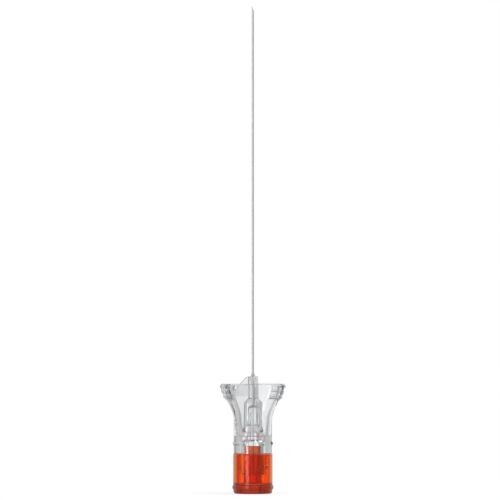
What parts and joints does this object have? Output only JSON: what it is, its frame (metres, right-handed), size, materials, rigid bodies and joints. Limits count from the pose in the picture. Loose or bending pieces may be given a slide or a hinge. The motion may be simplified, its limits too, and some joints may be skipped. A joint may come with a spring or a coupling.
{
  "type": "spinal needle",
  "caption": "Long fine bevelled steel needle in a clear flared hub, with a stylet in it whose orange see-through handle closes the hub's rear end.",
  "frame": {"origin": "centre of the flat end of the stylet handle, which the part stands on", "axes": "+Z along the needle's axis towards its point, X from wing to wing with the bevel's opening and the locating key at +X and the raised web at -X, Y across the wings"},
  "size_m": [0.0152, 0.0108, 0.1158],
  "materials": {
    "cannula_steel": "drawn stainless steel tube, bright bevel",
    "clear_hub": "clear moulded plastic, polished",
    "adhesive": "clear cured adhesive",
    "wire_steel": "drawn stainless steel wire, ground end",
    "orange_handle": "see-through orange moulded plastic, polished"
  },
  "bodies": {
    "stylet": {"stylet_handle": "orange_handle", "stylet_wire": "wire_steel"},
    "needle": {"hub": "clear_hub", "cannula": "cannula_steel", "adhesive": "adhesive"}
  },
  "joints": [
    {"name": "needle_slide", "type": "slide", "parent": "stylet", "child": "needle", "axis": [0, 0, 1], "range_m": [0, 0.112]}
  ]
}
